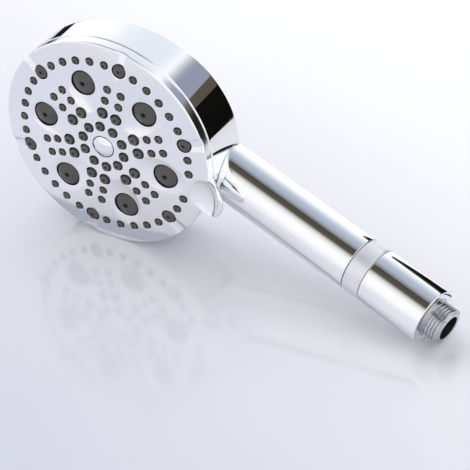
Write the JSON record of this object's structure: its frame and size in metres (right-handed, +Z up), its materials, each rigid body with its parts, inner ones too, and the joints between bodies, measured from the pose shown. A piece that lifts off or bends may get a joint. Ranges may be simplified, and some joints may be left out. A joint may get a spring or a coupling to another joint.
{
  "type": "handheld shower head",
  "caption": "Round chromed hand shower: domed spray face that clicks round by a thumb tab, hollow handle with window ring and threaded inlet.",
  "frame": {"origin": "centre of the bounding box's base: the plane the shower head lies on", "axes": "+Z up; the spray face looks along -Y; the handle points along +X and leans down and toward the front"},
  "size_m": [0.2686, 0.0632, 0.125],
  "materials": {
    "chrome": "mirror-bright plating on brass or ABS",
    "satin_face": "bright plating with a soft satin front",
    "nozzle_rubber": "matt silicone",
    "jet_plastic": "smooth dark plastic with a soft sheen",
    "frosted_ring": "frosted translucent plastic",
    "white_plastic": "moulded acetal",
    "grey_plastic": "moulded ABS",
    "green_plastic": "moulded acetal",
    "blue_plastic": "moulded plastic",
    "seal_rubber": "nitrile rubber",
    "stainless": "stainless steel",
    "brass_chromed": "brass under bright chrome"
  },
  "bodies": {
    "handle": {"pivot_bolt": "stainless", "pivot_washer": "white_plastic", "manifold": "grey_plastic", "port_sleeve": "seal_rubber", "port_spring": "stainless", "click_spring": "stainless", "housing_screws": "stainless", "rear_housing": "chrome", "handle_tube": "chrome", "water_tube": "grey_plastic", "water_tube_seals": "seal_rubber", "coupling_collar": "white_plastic", "collar_seals": "seal_rubber", "window_ring": "frosted_ring", "filter_cage": "white_plastic", "filter_screen": "stainless", "lower_sleeve": "chrome", "inlet_nipple": "brass_chromed", "nipple_seal": "seal_rubber", "check_valve_body": "white_plastic", "check_valve_spring": "stainless", "flow_restrictor": "blue_plastic", "inlet_screen": "stainless"},
    "spray_head": {"spray_face": "satin_face", "nozzle_mat": "nozzle_rubber", "jet_nozzles": "jet_plastic", "rim_nozzles": "jet_plastic", "centre_cap": "chrome", "water_plate": "white_plastic", "chamber_seal": "seal_rubber", "selector_disc": "grey_plastic", "face_screws": "stainless"},
    "turbine_wheel": {"turbine": "white_plastic"},
    "click_plunger": {"click_pin": "stainless"},
    "valve_poppet": {"check_valve_poppet": "green_plastic"}
  },
  "joints": [
    {"name": "face_turn", "type": "hinge", "parent": "handle", "child": "spray_head", "pos_m": [-0.07177, -0.01526, 0.0625], "axis": [0, -1, 0], "range_deg": [-60, 60]},
    {"name": "turbine_spin", "type": "hinge", "parent": "spray_head", "child": "turbine_wheel", "pos_m": [-0.07177, -0.01526, 0.0625], "axis": [0, -1, 0], "continuous": true},
    {"name": "click_slide", "type": "slide", "parent": "handle", "child": "click_plunger", "axis": [0, -1, 0], "range_m": [0, 0.0007], "stiffness_N_per_m": 400, "deforming": ["click_spring"]},
    {"name": "valve_slide", "type": "slide", "parent": "handle", "child": "valve_poppet", "axis": [-0.9526, 0.1942, 0.2342], "range_m": [0, 0.0015], "stiffness_N_per_m": 120, "deforming": ["check_valve_spring"]}
  ]
}
